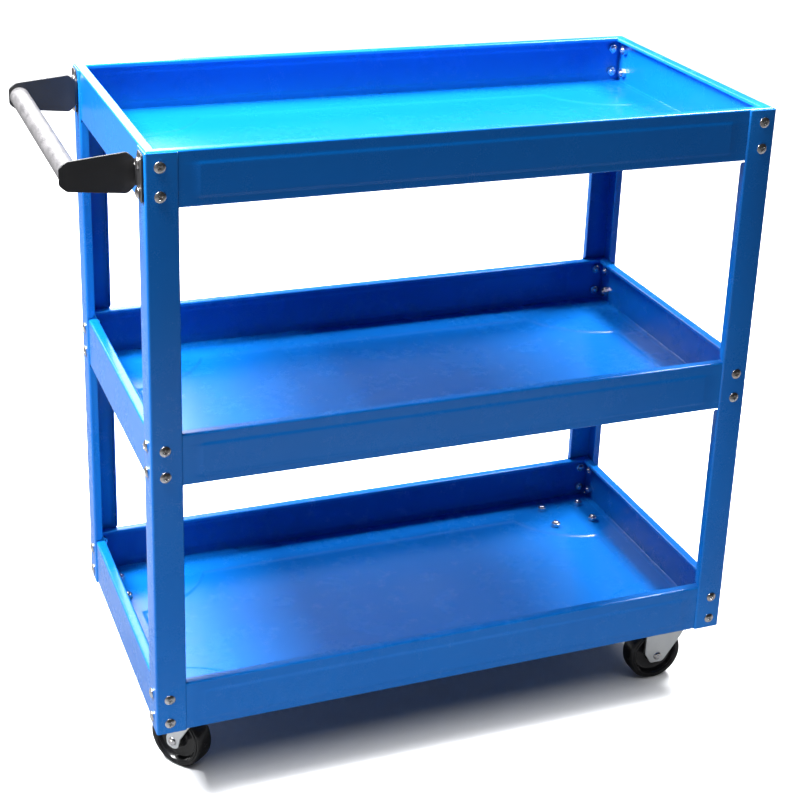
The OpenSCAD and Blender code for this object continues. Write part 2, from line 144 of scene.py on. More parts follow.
class Finish(Nodes):
    """A material with a Principled skin."""

    def __init__(self, name, **fixed):
        self.mat = bpy.data.materials.new(name)
        self.mat.use_nodes = True
        super().__init__(self.mat.node_tree)
        self.skin = self.tree.nodes.new("ShaderNodeBsdfPrincipled")
        end = self.tree.nodes.new("ShaderNodeOutputMaterial")
        self.tree.links.new(self.skin.outputs[0], end.inputs["Surface"])
        for socket, value in fixed.items():
            self.skin.inputs[socket.replace("_", " ")].default_value = value

    def spot(self):
        return self.make("ShaderNodeTexCoord", out="Object")

    def noise(self, scale, detail=3.0, rough=0.5, stretch=None):
        where = self.spot()
        if stretch:
            where = self.make("ShaderNodeMapping", None, {"Vector": where, "Scale": stretch})
        return self.make("ShaderNodeTexNoise", None,
                         {"Vector": where, "Scale": scale, "Detail": detail, "Roughness": rough})

    def between(self, value, low, high, out_low=0.0, out_high=1.0):
        return self.make("ShaderNodeMapRange", None,
                         {"Value": value, "From Min": low, "From Max": high,
                          "To Min": out_low, "To Max": out_high})

    def blend(self, factor, a, b):
        return self.make("ShaderNodeMix", {"data_type": "RGBA"},
                         {"Factor": factor, 6: a, 7: b}, out=2)

    def edges(self, spread):
        """About 1 on sharp edges, 0 on flats: the mask for painted edge highlights."""
        point, flat = self.make("ShaderNodeNewGeometry", out="Pointiness"), 0.52
        return self.between(point, flat, flat + spread)

    def bump(self, height, strength, distance, under=None):
        sockets = {"Height": height, "Strength": strength, "Distance": distance}
        if under is not None:
            sockets["Normal"] = under
        return self.make("ShaderNodeBump", None, sockets)

    def feed(self, **sources):
        for socket, value in sources.items():
            self.tree.links.new(value.out, self.skin.inputs[socket.replace("_", " ")])
        return self.mat


# Glossy blue powder coat: slight orange peel, long soft waves in the sheet,
# a little dust in the roughness and a painted highlight: paler blue on sharp edges.
coat = Finish("blue_powder_coat", Metallic=0.0, IOR=1.44, Coat_Roughness=0.06, Coat_IOR=1.5)
blotch = coat.noise(6.0, 4.0, 0.6)
speckle = coat.noise(900.0, 2.0, 0.5)
tone = coat.between(blotch, 0.3, 0.7)
paint = coat.blend(tone, (0.0008, 0.112, 0.440, 1.0), (0.0016, 0.124, 0.470, 1.0))
# Painted highlight: sharp edges turn a paler blue.
paint = coat.blend(coat.edges(0.05) * 0.35, paint, (0.012, 0.22, 0.70, 1.0))
dust = coat.between(coat.noise(22.0, 4.0, 0.55), 0.30, 0.80)
peel = coat.bump(coat.noise(420.0, 2.0, 0.5), 0.05, 0.0006)
waves = coat.bump(coat.noise(5.0, 1.0, 0.3), 0.08, 0.004, peel)
blue_coat = coat.feed(Base_Color=paint, Roughness=0.25 + dust * 0.025 + speckle * 0.02,
                      Coat_Weight=0.09 - dust * 0.015, Normal=waves)


def grown(points, normals, shrink):
    """Both faces of a sheet: a loop out along its skin and back along its inside."""
    p, n = np.array(points, float), np.array(normals, float)
    skin = p - n * shrink
    back = p - n * (post_t - shrink)
    return np.vstack([skin, back[::-1]])


def bend_points(centre, radius, start, end, steps=6):
    """Skin points and outward normals round a bend, angles in degrees."""
    angles = np.radians(np.linspace(start, end, steps))
    n = np.stack([np.cos(angles), np.sin(angles)], 1)
    return np.array(centre) + n * radius, n


def sheet_path(*parts):
    points = np.vstack([p for p, n in parts])
    normals = np.vstack([n for p, n in parts])
    return points, normals


def loft(rings, capped=True):
    """Quads between closed rings of points, with faces over both ends."""
    count = len(rings[0])
    verts = np.vstack(rings)
    faces = []
    for i in range(len(rings) - 1):
        a, b = i * count, (i + 1) * count
        for j in range(count):
            k = (j + 1) % count
            faces.append((a + j, a + k, b + k, b + j))
    if capped:
        half = count // 2
        for j in range(half - 1):
            base = (len(rings) - 1) * count
            faces.append((count - 1 - j, count - 2 - j, j + 1, j))
            faces.append((base + j, base + j + 1, base + count - 2 - j, base + count - 1 - j))
    return verts, faces


def joined(*parts):
    verts, faces, start = [], [], 0
    for v, f in parts:
        verts.append(v)
        faces += [tuple(i + start for i in face) for face in f]
        start += len(v)
    return np.vstack(verts), faces


def turned(part, matrix):
    v, f = part
    m = np.array(matrix)
    out = v @ m[:3, :3].T + m[:3, 3]
    if np.linalg.det(m[:3, :3]) < 0:
        f = [face[::-1] for face in f]
    return out, f


def piece(name, part, finish, body, nodes, crease=35.0, weld=True):
    """A mesh from points in millimetres off the front-left post's foot, standing for CAD nodes."""
    v, f = part
    mesh = bpy.data.meshes.new(name)
    mesh.from_pydata((np.array(v) * MM + np.array(foot)).tolist(), [], f)
    if weld:
        bm = bmesh.new()
        bm.from_mesh(mesh)
        bmesh.ops.remove_doubles(bm, verts=bm.verts, dist=2e-6)
        bmesh.ops.dissolve_degenerate(bm, edges=bm.edges, dist=1e-6)
        bmesh.ops.recalc_face_normals(bm, faces=bm.faces)
        bm.to_mesh(mesh)
        bm.free()
    mesh.shade_smooth()
    mesh.set_sharp_from_angle(angle=math.radians(crease))
    mesh.materials.append(finish)
    obj = bpy.data.objects.new(name, mesh)
    bpy.context.scene.collection.objects.link(obj)
    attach(obj, body)
    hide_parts(*nodes)


def post_path():
    """Lip, front leg, corner, side leg, lip: the skin seen from above."""
    w, r = leg_w, post_r
    lip_a = (np.array([[w, lip_w]]), np.array([[1.0, 0.0]]))
    lip_b = (np.array([[lip_w, w]]), np.array([[0.0, 1.0]]))
    return sheet_path(lip_a, bend_points((w - r, r), r, 0, -90), bend_points((r, r), r, -90, -180, 9),
                      bend_points((r, w - r), r, 180, 90), lip_b)


def lip_reach(z):
    """How deep the lips are at height z, with rounded ends at the notches."""
    reach = lip_w
    for tray_z in levels.values():
        low, high = tray_z - notch_gap, tray_z + tray_h + notch_gap
        gap = max(low - z, z - high)
        if gap < 0:
            return post_t
        if gap < notch_r:
            reach = min(reach, lip_w - notch_r + math.sqrt(notch_r ** 2 - (notch_r - gap) ** 2))
    return reach


points, normals = post_path()
stations = [(0.0, soft_end), (soft_end, 0.0)]
for tray_z in levels.values():
    for edge, way in ((tray_z - notch_gap, -1), (tray_z + tray_h + notch_gap, 1)):
        for gap in (notch_r, 4.6, 3.2, 2.0, 1.0, 0.3, 0.001, -0.001):
            z = edge + way * gap
            if 1.0 < z < post_h - 1.0:
                stations.append((z, 0.0))
stations = sorted(stations) + [(post_h - soft_end, 0.0), (post_h, soft_end)]
rings = []
for z, shrink in stations:
    ring = grown(points, normals, shrink)
    reach = lip_reach(z)
    flip = ring[:, 0] > ring[:, 1]
    ring[flip, 1] = np.minimum(ring[flip, 1], reach)
    ring[~flip, 0] = np.minimum(ring[~flip, 0], reach)
    rings.append(np.column_stack([ring, np.full(len(ring), z)]))
post = loft(rings)
mirrors = {"fl": (1, 1), "fr": (-1, 1), "bl": (1, -1), "br": (-1, -1)}
at_corner = {}
for corner, (sx, sy) in mirrors.items():
    shift = Vector((0 if sx > 0 else cart_l, 0 if sy > 0 else cart_d, 0))
    at_corner[corner] = Matrix.Translation(shift) @ Matrix.Diagonal((sx, sy, 1, 1))
    piece("post_" + corner + "_angle", turned(post, at_corner[corner]), blue_coat, "frame",
          ["post_" + corner], crease=40.0)

# ---- Trays ----------------------------------------------------------------
# Three equal trays, each folded from one 1 mm blank: the floor has a sunk
# panel with scooped corners, the long walls a raised panel, the rim a hem.

tray_t, bend_r, rim_w, hem_h = 1.0, 2.0, 11.0, 4.0
wall_in = post_t + 0.1
tray_l, tray_d = cart_l - 2 * wall_in, cart_d - 2 * wall_in
floor_rim = 9.0
seam, corner_gap = 0.3, 3.2
press_out, press_down, press_run, panel_r = 0.8, 1.5, 4.0, 4.0
panel_in, panel_low, panel_high = 46.9, 7.5, 45.0
pan_x, pan_y = 39.0, 47.0
scoop_x, scoop_y, scoop_r = 32.0, 12.0, 102.0


def eased(x):
    x = np.clip(x, 0.0, 1.0)
    return x * x * (3 - 2 * x)


def wall_path():
    """Floor strip, bend, wall, rim and hem as (inward, up) with outward normals."""
    h, r = tray_h, bend_r
    floor = (np.array([[floor_rim, 0.0], [6.0, 0.0], [3.4, 0.0]]), np.array([[0.0, -1.0]] * 3))
    heights = [2.5, 3.5, 5.5, 7, 8, 9, 10, 11, 12, 14, 26, 38, 40.5,
               41.5, 42.5, 43.5, 44.5, 45.5, 47, 52, 53.5]
    wall = (np.array([[0.0, v] for v in heights]), np.array([[-1.0, 0.0]] * len(heights)))
    rim = (np.array([[4.0, h], [7.0, h]]), np.array([[0.0, 1.0]] * 2))
    hem = (np.array([[rim_w, h - hem_h]]), np.array([[1.0, 0.0]]))
    return sheet_path(floor, bend_points((r, r), r, -90, -180), wall,
                      bend_points((r, h - r), r, 180, 90), rim,
                      bend_points((rim_w - r, h - r), r, 90, 0), hem)


def panel_rise(x, z, length):
    """Outward rise of a long wall's pressed panel."""
    half = Vector(((length - 2 * panel_in) / 2, (panel_high - panel_low) / 2))
    qx = np.abs(x - length / 2) - half.x + panel_r
    qz = np.abs(z - (panel_high + panel_low) / 2) - half.y + panel_r
    out = np.hypot(np.maximum(qx, 0), np.maximum(qz, 0)) + np.minimum(np.maximum(qx, qz), 0) - panel_r
    return press_out * eased(-out / press_run)


def wall_sheet(length, pressed):
    """A wall with its floor strip, rim and hem, mitred at both ends."""
    points, normals = wall_path()
    back = points - normals * tray_t
    loop = np.vstack([points, back[::-1]])
    upright = np.abs(normals[:, 0] + 1) < 0.01
    wall = upright & (points[:, 1] > bend_r + 0.2) & (points[:, 1] < tray_h - bend_r - 0.2)
    wall = np.concatenate([wall, wall[::-1]])
    start = np.maximum(loop[:, 0], 0.0) + np.where(loop[:, 0] < 3.0, seam, 0.0)
    start = np.where((loop[:, 1] > tray_h - bend_r - 0.1), loop[:, 0] + seam, start)
    if pressed:
        start = np.where(wall, tray_t + corner_gap, start)
    marks = [0, 0.25, 0.6]
    edge = panel_in / length
    marks += [edge + d / length for d in (-8, -1, 0, 0.7, 1.4, 2.1, 2.8, 3.5, 4.2, 6)] if pressed else [0.1]
    marks = sorted({m for m in marks if m < 0.5} | {1 - m for m in marks if m < 0.5} | {0.25, 0.5, 0.75})
    rings = []
    for m in marks:
        x = start + (length - 2 * start) * m
        y = loop[:, 0].copy()
        if pressed:
            y = np.where(wall, y - panel_rise(x, loop[:, 1], length), y)
        rings.append(np.column_stack([x, y, loop[:, 1]]))
    return loft(rings)


def scoop_ring(grow, steps=22):
    """Outline of the sunk floor panel, grown outward, counter-clockwise."""
    x0, y0 = pan_x - wall_in - grow, pan_y - wall_in - grow
    cx, cy, r = scoop_x - wall_in, scoop_y - wall_in, scoop_r - grow
    start = math.atan2(math.sqrt(r * r - (x0 - cx) ** 2), x0 - cx)
    end = math.atan2(y0 - cy, math.sqrt(r * r - (y0 - cy) ** 2))
    a = np.linspace(start, end, steps)
    arc = np.column_stack([cx + r * np.cos(a), cy + r * np.sin(a)])
    right = np.column_stack([tray_l - arc[::-1, 0], arc[::-1, 1]])
    low = np.vstack([arc, right])
    high = np.column_stack([tray_l - low[:, 0], tray_d - low[:, 1]])
    return np.vstack([low, high])


def floor_sheet():
    """Both faces of the floor, stepped down round the panel's outline."""
    slope = 2.6
    grows = [slope, 1.7, 0.85, 0.0, -0.85, -1.7, -slope]
    f = floor_rim
    rect = np.array([[f, f], [tray_l - f, f], [tray_l - f, tray_d - f], [f, tray_d - f]])
    loops = [rect] + [scoop_ring(g) for g in grows]
    drops = [0.0] + [-press_down * float(eased((slope - g) / (2 * slope))) for g in grows]
    flat, edges, z = [], [], []
    for loop, drop in zip(loops, drops):
        base = len(flat)
        flat += [Vector(p) for p in loop.tolist()]
        z += [drop] * len(loop)
        edges += [(base + i, base + (i + 1) % len(loop)) for i in range(len(loop))]
    verts, _, faces, origin, _, _ = delaunay_2d_cdt(flat, edges, [], 0, 1e-4)
    height = [z[o[0]] for o in origin]
    low = np.array([[v.x, v.y, h] for v, h in zip(verts, height)])
    high = low + np.array([0, 0, tray_t])
    count = len(low)
    both = [tuple(face[::-1]) for face in faces] + [tuple(i + count for i in face) for face in faces]
    return np.vstack([low, high]), both


front = wall_sheet(tray_l, True)
side = wall_sheet(tray_d, False)
shell = joined(
    front,
    turned(front, Matrix.Translation((0, tray_d, 0)) @ Matrix.Diagonal((1, -1, 1, 1))),
    turned(side, Matrix.Translation((0, tray_d, 0)) @ Matrix.Rotation(math.radians(-90), 4, "Z")),
    turned(side, Matrix.Translation((tray_l, 0, 0)) @ Matrix.Rotation(math.radians(90), 4, "Z")))
floor = floor_sheet()
for level, z in levels.items():
    place = Matrix.Translation((wall_in, wall_in, z))
    tray = "tray_" + level
    piece(tray + "_walls", turned(shell, place), blue_coat, "frame",
          [tray + side for side in ("_front", "_back", "_left", "_right")], crease=40.0)
    piece(tray + "_pan", turned(floor, place), blue_coat, "frame", [tray + "_floor"],
          crease=60.0, weld=False)

# ---- Screws and nuts ------------------------------------------------------
# Bright zinc M6 pan-head screws with a cross recess, four at each tray
# corner, each with a hex nut inside the tray and a short threaded end.

screw_r, head_h, dome_r = 3.0, 3.4, 9.0
nut_af, nut_h, screw_end, bore_r = 10.0, 5.0, 2.4, 3.05
front_screw, side_screw = leg_w * 0.44, leg_w * 0.56
screw_low, screw_high = tray_h * 0.23, tray_h * 0.74

plate = Finish("zinc_fasteners", Metallic=1.0)
grain = plate.noise(260.0, 4.0, 0.6)
stain = plate.between(plate.noise(60.0, 3.0, 0.6), 0.45, 0.75)
metal = plate.blend(grain, (0.62, 0.63, 0.66, 1.0), (0.86, 0.87, 0.90, 1.0))
metal = plate.blend(stain * 0.6, metal, (0.66, 0.50, 0.40, 1.0))
nicks = plate.bump(plate.noise(500.0, 3.0, 0.6), 0.15, 0.0003)
bright_zinc = plate.feed(Base_Color=metal, Roughness=0.16 + grain * 0.16, Normal=nicks)


def lathe(profile, steps=40):
    """Turns (radius, height) points round Z; the ends must be on the axis or open."""
    a = np.linspace(0, 2 * math.pi, steps, endpoint=False)
    rings = [np.column_stack([r * np.cos(a), r * np.sin(a), np.full(steps, z)]) for r, z in profile]
    return loft(rings, capped=False)


def pan_head(around=64):
    """Domed head with its cross recess, apex towards -Z, seat at z = 0."""
    domed = [0.02, 0.35, 0.55, 0.75, 0.95, 1.2, 1.5, 1.8, 2.1, 2.4, 2.65, 2.9, 3.3, 4.0, 4.7, 5.2, 5.5, 5.68]
    skirt = [(5.75, -1.15), (5.75, -0.35), (5.6, 0.0), (3.0, 0.0)]
    cross_r, arm_w = 2.75, 0.84
    a = np.linspace(0, 2 * math.pi, around, endpoint=False)
    rings = []
    for r in domed:
        x, y = r * np.cos(a), r * np.sin(a)
        arm = np.minimum(np.abs(x), np.abs(y))
        cut = eased((arm_w - 0.10 * r - arm) / 0.3) * eased((cross_r - r) / 0.5)
        dome = -head_h + dome_r - math.sqrt(dome_r ** 2 - r * r)
        rings.append(np.column_stack([x, y, dome + cut * (1.9 - 0.35 * r)]))
    rings += [np.column_stack([r * np.cos(a), r * np.sin(a), np.full(around, z)]) for r, z in skirt]
    return loft(rings, capped=False)


def thread(length, start):
    """Shank from the head's seat to its end, threaded where it shows."""
    pitch, deep = 1.0, 0.42
    profile = [(screw_r, 0.0), (screw_r, start)]
    z = start
    while z < length - 0.9 * pitch:
        profile += [(screw_r, z + 0.1), (screw_r - deep, z + 0.5), (screw_r, z + 0.9)]
        z += pitch
    profile += [(screw_r - 0.5, length - 0.1), (screw_r - 0.9, length), (0.01, length)]
    return lathe(profile, 28)


def hex_nut():
    """Chamfered hex nut on z = 0, with the bore's mouth bevelled."""
    around = 48
    a = np.linspace(0, 2 * math.pi, around, endpoint=False)
    flat = nut_af / 2 / np.cos((a + math.pi / 6) % (math.pi / 3) - math.pi / 6)
    over = np.maximum(flat - nut_af / 2 * 0.985, 0) * 0.6
    one = np.ones(around)
    stack = [(bore_r * one, 0 * one), (flat * 0.985, 0 * one), (flat, over * 0.6 + 0.1),
             (flat, nut_h - over), (np.minimum(flat, nut_af / 2 * 0.97), nut_h * one),
             (3.7 * one, nut_h * one), (bore_r * one, nut_h * one - 0.6), (bore_r * one, 0 * one)]
    rings = [np.column_stack([r * np.cos(a), r * np.sin(a), z]) for r, z in stack]
    return loft(rings, capped=False)


head, nut = pan_head(), hex_nut()
to_back = Matrix.Rotation(math.radians(-90), 4, "X")
to_right = Matrix.Rotation(math.radians(90), 4, "Y")
clamp = wall_in + tray_t
arm_t = 2.0
spin = 0
for level, z in levels.items():
    screws, nuts = [], []
    for corner, where in at_corner.items():
        for h in (screw_low, screw_high):
            lift = arm_t if level == "top" and corner in ("fl", "bl") else 0.0
            for spot, turn, out in (((front_screw, 0, z + h), to_back, 0.0),
                                    ((-lift, side_screw, z + h), to_right, lift)):
                spin += 1
                angle = Matrix.Rotation(math.radians(spin * 47 % 90), 4, "Z")
                screw = joined(head, thread(clamp + out + nut_h + screw_end, clamp + out + nut_h - 1.0))
                screws.append(turned(screw, where @ Matrix.Translation(spot) @ turn @ angle))
                seat = Vector((0, 0, clamp + out))
                nuts.append(turned(nut, where @ Matrix.Translation(spot) @ turn @ Matrix.Translation(seat)
                                   @ Matrix.Rotation(math.radians(spin * 31 % 60), 4, "Z")))
    piece("screws_" + level + "_set", joined(*screws), bright_zinc, "frame", ["screws_" + level],
          crease=50.0)
    piece("nuts_" + level + "_set", joined(*nuts), bright_zinc, "frame", ["nuts_" + level],
          crease=28.0)

# ---- Push handle ----------------------------------------------------------
# Two black arms of 2 mm plate, each with a flange under the end screws, and
# a steel bar between them inside a moulded grip sleeve. Satin black coat.

reach, arm_r = 73.0, 3.0
handle_z = post_h - 25.0
arm_face = leg_w - 5.0
flange_from, flange_to, flange_h, corner_r = 4.0, 20.0, 23.5, 4.0
root_h, tip_h = 20.0, 14.7
grip_r, bar_r = 10.3, 6.0

black = Finish("black_powder_coat", Metallic=0.0, IOR=1.5)
fine = black.noise(700.0, 3.0, 0.6)
scuff = black.between(black.noise(22.0, 6.0, 0.7), 0.5, 0.8)
dark = black.blend(scuff * 0.5, (0.0085, 0.0085, 0.0095, 1.0), (0.022, 0.022, 0.024, 1.0))
# Painted highlight: sharp edges turn a pale grey.
dark = black.blend(black.edges(0.08) * 0.4, dark, (0.08, 0.08, 0.085, 1.0))
black_coat = black.feed(Base_Color=dark, Roughness=0.34 + scuff * 0.14 + fine * 0.05,
                        Normal=black.bump(fine, 0.18, 0.0004))


def arm_plan():
    """Flange, bend and arm seen from above, with the half height at each point."""
    top, bend = arm_face + arm_t - arm_r, arm_r - arm_t
    square = flange_h - corner_r
    rows = []
    for gap in (0.0, 0.4, 1.2, 2.4, corner_r):
        curve = math.sqrt(max(0, corner_r ** 2 - (corner_r - gap) ** 2))
        rows.append((-arm_t, flange_from + gap, -1.0, 0.0, square + curve))
    rows.append((-arm_t, flange_to, -1.0, 0.0, flange_h))
    for gap in (0.0, 1.2, 2.4, 3.4, corner_r):
        curve = math.sqrt(max(0, corner_r ** 2 - gap ** 2)) - 1.2 * gap
        rows.append((-arm_t, flange_to + gap, -1.0, 0.0, square + curve))
    for a in np.radians(np.linspace(0, 90, 6)):
        rows.append((-arm_r + bend * math.cos(a), top + bend * math.sin(a), -math.cos(a), -math.sin(a), 13.0))
    for gap, h in ((1.0, 14.2), (3.0, 16.4), (5.0, 18.3), (6.2, 19.3), (7.5, 19.8), (9.0, 20.0)):
        rows.append((-arm_r - gap, arm_face, 0.0, -1.0, h))
    straight = 9.0
    for share in np.linspace(0.1, 1.0, 6):
        x = -arm_r - straight + (-reach + straight + arm_r + straight) * share
        rows.append((x, arm_face, 0.0, -1.0, root_h - (root_h - tip_h) * share))
    for gap, h in ((7.5, 14.4), (6.0, 13.6), (4.0, 11.9), (2.0, 10.1), (0.8, 8.7), (0.0, 7.2)):
        rows.append((-reach + gap, arm_face, 0.0, -1.0, h))
    return rows


def arm_sheet():
    rings = []
    e = 0.35
    for x, y, nx, ny, h in arm_plan():
        section = [(0.0, h - e), (e, h), (arm_t - e, h), (arm_t, h - e),
                   (arm_t, e - h), (arm_t - e, -h), (e, -h), (0.0, e - h)]
        rings.append(np.array([[x - nx * d, y - ny * d, handle_z + v] for d, v in section]))
    verts, faces = loft(rings, capped=False)
    last = len(verts) - 8
    return verts, faces + [tuple(range(7, -1, -1)), tuple(range(last, last + 8))]


arm = arm_sheet()
for word, corner in (("front", "fl"), ("back", "bl")):
    piece("handle_arm_" + word + "_plate", turned(arm, at_corner[corner]), black_coat, "frame",
          ["handle_arm_" + word], crease=45.0)

# The sleeve is moulded in dark grey plastic with a pebbled skin.
sleeve = Finish("grip_sleeve", Metallic=0.0, IOR=1.52)
pebble = sleeve.noise(330.0, 4.0, 0.65)
mottle = sleeve.between(sleeve.noise(95.0, 5.0, 0.7), 0.35, 0.7)
skin = sleeve.blend(mottle, (0.055, 0.054, 0.057, 1.0), (0.105, 0.102, 0.106, 1.0))
grip_skin = sleeve.feed(Base_Color=skin, Roughness=0.36 + mottle * 0.2,
                        Normal=sleeve.bump(pebble, 0.55, 0.0012))
grip_x = -reach + grip_r + 0.3
grip_low = arm_face + arm_t + 0.4
grip_len = cart_d - 2 * grip_low
sleeve_end, crowned = 1.4, 0.1
profile = [(bar_r + 0.1, 0.3), (grip_r - sleeve_end, 0.0), (grip_r - 0.5, 0.4),
           (grip_r - crowned, sleeve_end)]
for share in np.linspace(0.02, 0.98, 24):
    profile.append((grip_r - crowned + crowned * math.sin(math.pi * share),
                    sleeve_end + (grip_len - 2 * sleeve_end) * share))
profile += [(grip_r - crowned, grip_len - sleeve_end), (grip_r - 0.5, grip_len - 0.4),
            (grip_r - sleeve_end, grip_len), (bar_r + 0.1, grip_len - 0.3)]
along_y = Matrix.Translation((grip_x, grip_low, handle_z)) @ to_back
piece("handle_grip_sleeve", turned(lathe(profile, 48), along_y), grip_skin, "frame", ["handle_grip"],
      crease=50.0)

steel = Finish("plain_steel", Metallic=1.0)
drawn = steel.noise(120.0, 4.0, 0.6, (1.0, 0.06, 1.0))
plain_steel = steel.feed(Base_Color=steel.blend(drawn, (0.42, 0.42, 0.43, 1.0), (0.60, 0.60, 0.61, 1.0)),
                         Roughness=0.28 + drawn * 0.2, Normal=steel.bump(drawn, 0.1, 0.0003))

# ---- Casters --------------------------------------------------------------
# Zinc-plated pressed brackets and forks, glossy black moulded wheels on
# steel bushes, and axle rivets. The end away from the handle is rigid.

caster_in, bolt_x, bolt_y = 54.5, 53.5, 44.0
wheel_r, wheel_w, trail = 34.0, 24.0, 20.0
over_wheel = 21.5
axle_drop = wheel_r + over_wheel
plate_l, plate_w, plate_t = bolt_x + 19.5, bolt_y + 13.0, 2.5
fork_t, fork_in, axle_hole = 2.0, 14.0, 4.06
heading = {"fl": 128.0, "bl": 62.0}

fork_finish = Finish("zinc_casters", Metallic=1.0)
cloud = fork_finish.noise(45.0, 5.0, 0.65)
crystal = fork_finish.noise(420.0, 3.0, 0.6)
white_zinc = fork_finish.blend(cloud, (0.70, 0.73, 0.76, 1.0), (0.90, 0.92, 0.94, 1.0))
caster_zinc = fork_finish.feed(Base_Color=white_zinc, Roughness=0.22 + cloud * 0.14 + crystal * 0.06,
                               Normal=fork_finish.bump(crystal, 0.1, 0.0003))

moulded = Finish("black_wheels", Metallic=0.0, IOR=1.5)
flow = moulded.noise(30.0, 4.0, 0.6)
tread_dust = moulded.between(moulded.noise(160.0, 5.0, 0.7), 0.5, 0.8)
black_plastic = moulded.blend(tread_dust * 0.4, (0.006, 0.006, 0.007, 1.0), (0.03, 0.03, 0.032, 1.0))
wheel_black = moulded.feed(Base_Color=black_plastic, Roughness=0.16 + flow * 0.10 + tread_dust * 0.12,
                           Normal=moulded.bump(moulded.noise(300.0, 3.0, 0.6), 0.05, 0.0004))


def outline_slab(outline, t, hole=None, edge=0.35):
    """A plate from an outline in its own plane, with rounded edges and a round hole."""
    ring = np.array(outline, float)
    ahead = np.roll(ring, -1, 0) - ring
    ahead /= np.linalg.norm(ahead, axis=1)[:, None]
    back = np.roll(ahead, 1, 0)
    inward = np.column_stack([-(ahead + back)[:, 1], (ahead + back)[:, 0]])
    inward /= np.linalg.norm(inward, axis=1)[:, None]
    inset = ring + inward * edge
    loops = [(inset, 0.0), (ring, edge), (ring, t - edge), (inset, t)]
    part = loft([np.column_stack([p, np.full(len(p), z)]) for p, z in loops], capped=False)
    flat = [Vector(p) for p in inset.tolist()]
    edges = [(i, (i + 1) % len(inset)) for i in range(len(inset))]
    if hole:
        (hx, hy), hr = hole
        a = np.linspace(0, 2 * math.pi, 24, endpoint=False)
        rim = np.column_stack([hx + hr * np.cos(a), hy + hr * np.sin(a)])
        start = len(flat)
        flat += [Vector(p) for p in rim.tolist()]
        edges += [(start + i, start + (i + 1) % 24) for i in range(24)]
    verts, _, faces, _, _, _ = delaunay_2d_cdt(flat, edges, [], 1, 1e-5)
    cover = np.array([[v.x, v.y, 0.0] for v in verts])
    if hole:
        mid = [cover[list(f), :2].mean(0) for f in faces]
        faces = [f for f, m in zip(faces, mid) if math.hypot(m[0] - hx, m[1] - hy) > hr * 0.99]
    low = (cover, [tuple(f[::-1]) for f in faces])
    high = (cover + np.array([0, 0, t]), [tuple(f) for f in faces])
    return joined(part, low, high)


def rounded(corners, radii, steps=5):
    """Rounds each corner of a polygon to its own radius."""
    out = []
    n = len(corners)
    for i, (p, r) in enumerate(zip(corners, radii)):
        p = Vector(p)
        a, b = Vector(corners[i - 1]) - p, Vector(corners[(i + 1) % n]) - p
        turn = a.angle(b)
        cut = min(r / math.tan(turn / 2), a.length * 0.48, b.length * 0.48)
        start, end = p + a.normalized() * cut, p + b.normalized() * cut
        for s in np.linspace(0, 1, steps):
            q = start * (1 - s) ** 2 + p * 2 * s * (1 - s) + end * s ** 2
            out.append((q.x, q.y))
    return out


def box_outline(l, w, r):
    return rounded([(-l / 2, -w / 2), (l / 2, -w / 2), (l / 2, w / 2), (-l / 2, w / 2)], [r] * 4, 7)


def both_cheeks(outline, hole):
    """The two cheeks of a fork, from an outline in (along, up)."""
    slab = outline_slab(outline, fork_t, hole)
    stand = Matrix.Rotation(math.radians(90), 4, "X")
    near = turned(slab, Matrix.Translation((0, -fork_in, 0)) @ stand)
    away = turned(slab, Matrix.Translation((0, fork_in + fork_t, 0)) @ stand)
    return joined(near, away)


def flange_strip(x, z_low, z_high, side):
    """A stiffening edge turned in from a cheek towards the wheel."""
    wide, t = 2.6, 1.2
    y = side * fork_in
    section = box_outline(t, wide, 0.5)
    rings = [np.array([[x + t / 2 + px, y - side * (wide / 2 - 0.4) + py, z] for px, py in section])
             for z in (z_low, z_high)]
    return loft(rings)


axle, low = -axle_drop, -axle_drop - 8.5
rigid_outline = rounded([(-17, -2), (-17, axle + 5), (-8.5, low), (7.5, low), (26, axle + 17),
                         (35.5, axle + 32), (35.5, -2)], [0.5, 5, 5, 6, 12, 8, 0.5])
swivel_outline = rounded([(-16.5, -8.5), (trail - 10.5, axle + 6), (trail - 7.2, low + 1.5),
                          (trail, low - 1.0), (trail + 7.6, low + 2.2), (trail + 8.6, axle + 2),
                          (16.5, -8.5)], [0.5, 6, 5, 6, 5, 5, 0.5])
top_plate = turned(outline_slab(box_outline(plate_l, plate_w, 5.0), plate_t),
                   Matrix.Translation((0, 0, -plate_t)))
on_axis = 0.01
crown = lathe([(on_axis, -7.8), (19.5, -7.8), (21.5, -8.1), (22.0, -9.0), (21.6, -10.0), (20.0, -10.3),
               (on_axis, -10.3)])
race = lathe([(on_axis, -2.6), (20.4, -2.6), (20.5, -6.2), (21.0, -6.5), (22.3, -6.2), (23.0, -4.5),
              (24.5, -2.6)])
rivet_foot = lathe([(on_axis, -14.0), (3.5, -13.9), (6.0, -13.1), (7.6, -11.9), (8.0, -10.7),
                    (on_axis, -10.65)], 32)
rivet_end = [(4.0, 16.0), (5.2, 16.05), (4.7, 17.1), (3.6, 17.7), (2.4, 18.0), (1.9, 17.9), (1.6, 18.3),
             (on_axis, 18.4)]
rivet = lathe([(r, -z) for r, z in rivet_end[::-1]] + rivet_end, 32)
bush = lathe([(4.05, -13.95), (5.8, -13.95), (6.0, -13.7), (6.0, 13.7), (5.8, 13.95), (4.05, 13.95),
              (4.05, -13.95)], 32)
half = wheel_w / 2
wheel_side = [(6.1, 13.3), (6.3, 13.5), (9.2, 13.5), (10.0, 12.9), (10.9, 6.2), (12.2, 4.9)]
wheel_side += [(wheel_r - dip, side) for dip, side in (
    (11.9, 4.3), (9.9, 5.2), (8.3, 10.6), (7.5, half - 0.6), (6.8, half), (5.1, half), (4.6, half - 0.5),
    (4.3, half - 1.0), (2.7, half - 0.8), (1.2, half - 1.9), (0.3, half - 3.6), (0.0, half - 6.0))]
wheel = lathe(wheel_side + [(wheel_r, 0.0)] + [(r, -y) for r, y in wheel_side[::-1]] + [(6.1, 13.3)], 72)
